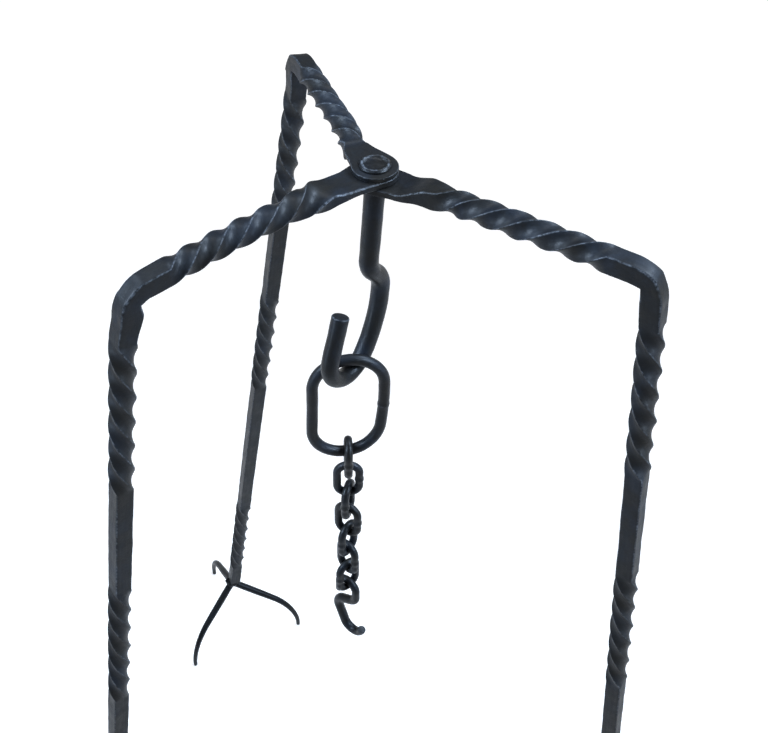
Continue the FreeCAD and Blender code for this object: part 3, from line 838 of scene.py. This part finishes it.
def forged_iron(name, scuffing_and_highlight_amount, matt, pits, seed):
    """Blackened, waxed iron: scale of two tones, streaks along the bar, pits, and bright scuffed
    edges that also carry a painted highlight.

    `matt` is the lowest and the highest roughness of its streaks.
    """
    mat = bpy.data.materials.new(name)
    mat.use_nodes = True
    tree = mat.node_tree
    link_up = tree.links.new
    shader = tree.nodes["Principled BSDF"]
    shader.inputs["Metallic"].default_value = 0.0
    shader.inputs["IOR"].default_value = IRON_IOR
    shader.inputs["Specular Tint"].default_value = IRON_TINT
    shader.inputs["Coat Weight"].default_value = WAX
    shader.inputs["Coat Roughness"].default_value = WAX_ROUGHNESS

    where = node(tree, "ShaderNodeTexCoord", (-1500, 0))
    place = node(tree, "ShaderNodeMapping", (-1320, 0),
                 Location=(seed * 0.37, seed * 0.11, seed * 0.23))
    link_up(where.outputs["Object"], place.inputs["Vector"])
    patches = node(tree, "ShaderNodeTexNoise", (-1100, 260), Scale=34.0, Detail=5.0,
                   Roughness=0.62, Distortion=0.4)
    speckle = node(tree, "ShaderNodeTexNoise", (-1100, 0), Scale=420.0, Detail=6.0, Roughness=0.7)
    scale_bits = node(tree, "ShaderNodeTexVoronoi", (-1100, -240), Scale=260.0, Randomness=1.0)
    for made in (patches, speckle, scale_bits):
        link_up(place.outputs["Vector"], made.inputs["Vector"])
    patches, speckle = patches.outputs["Fac"], speckle.outputs["Fac"]

    # streaks that run along the bar
    lay = attribute(tree, (-1500, -420), "lay")
    drawn_out = node(tree, "ShaderNodeMapping", (-1320, -420), Scale=(0.05, 0.9, 1.0))
    link_up(lay.outputs["Vector"], drawn_out.inputs["Vector"])
    streaks = node(tree, "ShaderNodeTexNoise", (-1100, -460), Scale=1.0, Detail=5.0, Roughness=0.6)
    link_up(drawn_out.outputs["Vector"], streaks.inputs["Vector"])
    streaks = streaks.outputs["Fac"]

    # colour: patches of scale with a fine grain
    tones = ramp(tree, (-860, 260), patches,
                 [(0.34, (*BROWN, 1)), (0.5, (*DARK, 1)), (0.68, (*COOL, 1))])
    grain = ramp(tree, (-860, 0), speckle,
                 [(0.3, (0.62, 0.62, 0.64, 1)), (0.55, grey(1)), (0.8, (1.7, 1.7, 1.75, 1))])
    grained = node(tree, "ShaderNodeMix", (-600, 200))
    grained.data_type, grained.blend_type = "RGBA", "MULTIPLY"
    grained.inputs["Factor"].default_value = 0.75
    link_up(tones, grained.inputs[6])
    link_up(grain, grained.inputs[7])

    # scuffing and painted highlight: bright steel along the edges, where they are scuffed and where
    # a highlight is painted, broken up by noise
    scuff_and_highlight = attribute(tree, (-1500, -700), "edge")
    broken = ramp(tree, (-860, -240), speckle, [(0.42, grey(0)), (0.7, grey(1))])
    patch_scuff_and_highlight = ramp(tree, (-860, -460), patches, [(0.36, grey(0.25)), (0.62, grey(1))])
    edge_only = rescaled(tree, (-860, -700), scuff_and_highlight.outputs["Fac"], 0.45, 1.0, 0.0, scuffing_and_highlight_amount)
    scuffed_and_highlit = arithmetic(tree, "MULTIPLY", (-600, -340), broken, edge_only)
    scuffed_and_highlit = arithmetic(tree, "MULTIPLY", (-420, -340), scuffed_and_highlit, patch_scuff_and_highlight)
    final = node(tree, "ShaderNodeMix", (-340, 200))
    final.data_type = "RGBA"
    final.inputs[7].default_value = (*BARE_METAL_SCUFF_AND_HIGHLIGHT, 1)
    link_up(scuffed_and_highlit, final.inputs["Factor"])
    link_up(grained.outputs[2], final.inputs[6])
    link_up(final.outputs[2], shader.inputs["Base Color"])

    gloss = rescaled(tree, (-600, -40), streaks, 0.3, 0.7, *matt)
    spotty = rescaled(tree, (-600, -180), patches, 0.3, 0.75, -0.06, 0.09)
    link_up(arithmetic(tree, "ADD", (-380, -60), gloss, spotty), shader.inputs["Roughness"])

    # relief: fine grain, pits in the scale, and draw marks along the bar
    pit_depth = ramp(tree, (-860, -900), scale_bits.outputs["Distance"],
                     [(0.0, grey(0)), (0.22, grey(1))])
    fine = relief(tree, (-380, -560), speckle, 0.55, 0.0004)
    pitted = relief(tree, (-200, -560), pit_depth, pits, 0.0002, below=fine)
    drawn = relief(tree, (-20, -560), streaks, 0.30, 0.0003, below=pitted)
    link_up(drawn, shader.inputs["Normal"])
    return mat


# the first number of each finish is how bright its edges are painted, as scuffing with a painted
# highlight
IRON = {
    "leg_bar": forged_iron("leg_bar_iron", scuffing_and_highlight_amount=0.75, matt=(0.45, 0.62), pits=0.3, seed=1),
    "foot_rod": forged_iron("foot_rod_iron", scuffing_and_highlight_amount=0.4, matt=(0.42, 0.58), pits=0.3, seed=2),
    "hook_bar": forged_iron("hook_bar_iron", scuffing_and_highlight_amount=0.6, matt=(0.36, 0.52), pits=0.3, seed=3),
    "washer": forged_iron("washer_iron", scuffing_and_highlight_amount=1.0, matt=(0.32, 0.5), pits=0.5, seed=4),
    "ring": forged_iron("ring_iron", scuffing_and_highlight_amount=0.6, matt=(0.36, 0.54), pits=0.35, seed=5),
    "chain": forged_iron("chain_iron", scuffing_and_highlight_amount=0.6, matt=(0.36, 0.52), pits=0.3, seed=6),
}


# ---------------------------------------------------------------- build
def finish(obj, body, slot, node_name=None):
    """Puts a piece on its body, in its slot and finish, in place of its CAD node."""
    obj.data.materials.append(IRON[slot])
    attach(obj, body)
    if node_name:
        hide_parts(node_name)


def bore(obj, side):
    """Cuts the pivot's hole in a leg's eye."""
    bpy.ops.mesh.primitive_cylinder_add(
        vertices=40, radius=BORE_DIA / 2 * MM, depth=BORE_DEPTH * MM,
        location=(PIVOT[0] * MM, PIVOT[1] * MM, eye_height(side) * MM))
    drill = bpy.context.active_object
    cut = obj.modifiers.new("bore", "BOOLEAN")
    cut.operation, cut.solver, cut.object = "DIFFERENCE", "EXACT", drill
    bpy.context.view_layer.objects.active = obj
    bpy.ops.object.modifier_apply(modifier=cut.name)
    bpy.data.objects.remove(drill, do_unlink=True)


for number, side in enumerate(LEGS):
    bar = leg(side, seed=2 + number * 3)
    bore(bar, side)
    finish(bar, f"{side}_leg", "leg_bar", f"{side}_leg")
    shape = LegShape(side)
    end = (shape.down @ np.array([shape.length, 0, 0, 1.0]))[:3]
    arch, third, weld = foot(side, end, seed=30 + number * 4)
    finish(arch, f"{side}_leg", "foot_rod", f"{side}_foot_arch")
    finish(third, f"{side}_leg", "foot_rod", f"{side}_foot_toe")
    finish(weld, f"{side}_leg", "foot_rod")

hook_bar, hook_head, hook_tenon, seat = swivel_hook()
finish(hook_bar, "swivel_hook", "hook_bar", "swivel_hook")
finish(hook_head, "swivel_hook", "washer")
finish(hook_tenon, "swivel_hook", "hook_bar")
finish(washer(), "swivel_hook", "washer", "pivot_washer")

crown = hung(seat, (SHANK_DIA + RING.gauge) / 2 + RING_GAP, RING_YAW)
finish(loop("ring_forged", crown, RING, seed=41, weld_share=0.75), "ring", "ring", "ring")
seat, above = crown[:3, 3] - np.array([0, 0, RING.length - RING.gauge]), RING.gauge
for number, yaw in enumerate(LINK_YAWS, start=1):
    crown = hung(seat, (above + LINK.gauge) / 2 + LINK_GAP, yaw)
    piece = loop(f"chain_link_{number}_forged", crown, LINK, seed=42 + number,
                 weld_share=0.25 if number % 2 else 0.75)
    finish(piece, f"chain_link_{number}", "chain", f"chain_link_{number}")
    seat, above = crown[:3, 3] - np.array([0, 0, LINK.length - LINK.gauge]), LINK.gauge
finish(end_hook(seat), "end_hook", "hook_bar", "end_hook")

# ---------------------------------------------------------------- floor and lights, in metres
FLOOR_SIZE, FLOOR_DROP = 80.0, 0.0005
FLOOR_GLOW = 0.46
WHITE_LIGHT, COOL_LIGHT = (1.0, 1.0, 1.0), (0.80, 0.98, 1.22)
WORLD_COLOUR, WORLD_STRENGTH = (0.86, 0.93, 1.0, 1), 0.09
# each pair's place on the right, the height it aims at, its size and spread, and its power left
# and right
PAIRS = {
    "box": ((1.15, -0.35, 1.55), 0.85, 0.85, 50, (4.9, 4.9)),
    "rim": ((0.9, 0.5, 1.9), 0.85, 0.55, 50, (0.8, 2.3)),
    "low": ((1.5, -0.8, 0.45), 0.72, 0.6, 30, (0.32, 0.32)),
}

bpy.ops.mesh.primitive_plane_add(size=FLOOR_SIZE, location=(0, 0, -FLOOR_DROP))
floor = bpy.context.active_object
floor.name = "studio_floor"
paint = bpy.data.materials.new("studio_floor_paint")
paint.use_nodes = True
surface = paint.node_tree.nodes["Principled BSDF"]
surface.inputs["Roughness"].default_value = 0.9
surface.inputs["Specular IOR Level"].default_value = 0.1
surface.inputs["Emission Color"].default_value = grey(1.0)
surface.inputs["Emission Strength"].default_value = FLOOR_GLOW
mottle = node(paint.node_tree, "ShaderNodeTexNoise", (-600, 0), Scale=18.0, Detail=3.0)
pale = ramp(paint.node_tree, (-360, 0), mottle.outputs["Fac"],
            [(0.3, (0.86, 0.86, 0.865, 1)), (0.7, (0.89, 0.89, 0.895, 1))])
paint.node_tree.links.new(pale, surface.inputs["Base Color"])
floor.data.materials.append(paint)


def area_light(name, place, target, size, power, colour, spread):
    data = bpy.data.lights.new(name, "AREA")
    data.shape, data.size, data.energy, data.color = "DISK", size, power, colour
    data.spread = math.radians(spread)
    lamp = bpy.data.objects.new(name, data)
    lamp.location = place
    lamp.rotation_euler = (Vector(target) - Vector(place)).to_track_quat("-Z", "Y").to_euler()
    bpy.context.scene.collection.objects.link(lamp)


area_light("overhead", (0.0, 2.1, 4.2), (0, 2.1, 0), 2.2, 30, WHITE_LIGHT, 84)
for kind, ((x, y, z), aim_height, size, spread, powers) in PAIRS.items():
    for side, sign, power in zip(("left", "right"), (-1, 1), powers):
        area_light(f"{side}_{kind}", (sign * x, y, z), (0, 0, aim_height), size, power, COOL_LIGHT,
                   spread)

world = bpy.data.worlds.new("studio")
world.use_nodes = True
bpy.context.scene.world = world
sky = world.node_tree.nodes["Background"]
sky.inputs["Color"].default_value = WORLD_COLOUR
sky.inputs["Strength"].default_value = WORLD_STRENGTH

# ---------------------------------------------------------------- camera, in metres
LENS, SENSOR, CLIP_END = 54.47, 36.0, 60.0
# it stands above and in front of the pivot, and is then tilted, panned and rolled
CAMERA_RISE, CAMERA_TILT, CAMERA_PAN, CAMERA_ROLL = 34.06, -9.91, 0.66, 1.27
CAMERA_DISTANCE, CAMERA_AIM_HEIGHT = 0.760, 0.9001


def tipped(first, second, degrees):
    """Two square directions after `first` has turned towards `second`."""
    c, s = math.cos(math.radians(degrees)), math.sin(math.radians(degrees))
    return first * c + second * s, second * c - first * s


scene = bpy.context.scene
scene.view_settings.view_transform = "Standard"
camera_data = bpy.data.cameras.new("camera")
camera_data.sensor_width = SENSOR
camera_data.lens = LENS
camera_data.clip_end = CLIP_END
camera = bpy.data.objects.new("camera", camera_data)
scene.collection.objects.link(camera)
rise = math.radians(CAMERA_RISE)
aim = Vector((0, math.cos(rise), -math.sin(rise)))
place = Vector((PIVOT[0] * MM, PIVOT[1] * MM, CAMERA_AIM_HEIGHT)) - aim * CAMERA_DISTANCE
right = Vector(X)
aim, up = tipped(aim, right.cross(aim), CAMERA_TILT)
aim, right = tipped(aim, right, CAMERA_PAN)
right, up = tipped(right, up, CAMERA_ROLL)
camera.matrix_world = Matrix(((right.x, up.x, -aim.x, place.x), (right.y, up.y, -aim.y, place.y),
                              (right.z, up.z, -aim.z, place.z), (0, 0, 0, 1)))
scene.camera = camera
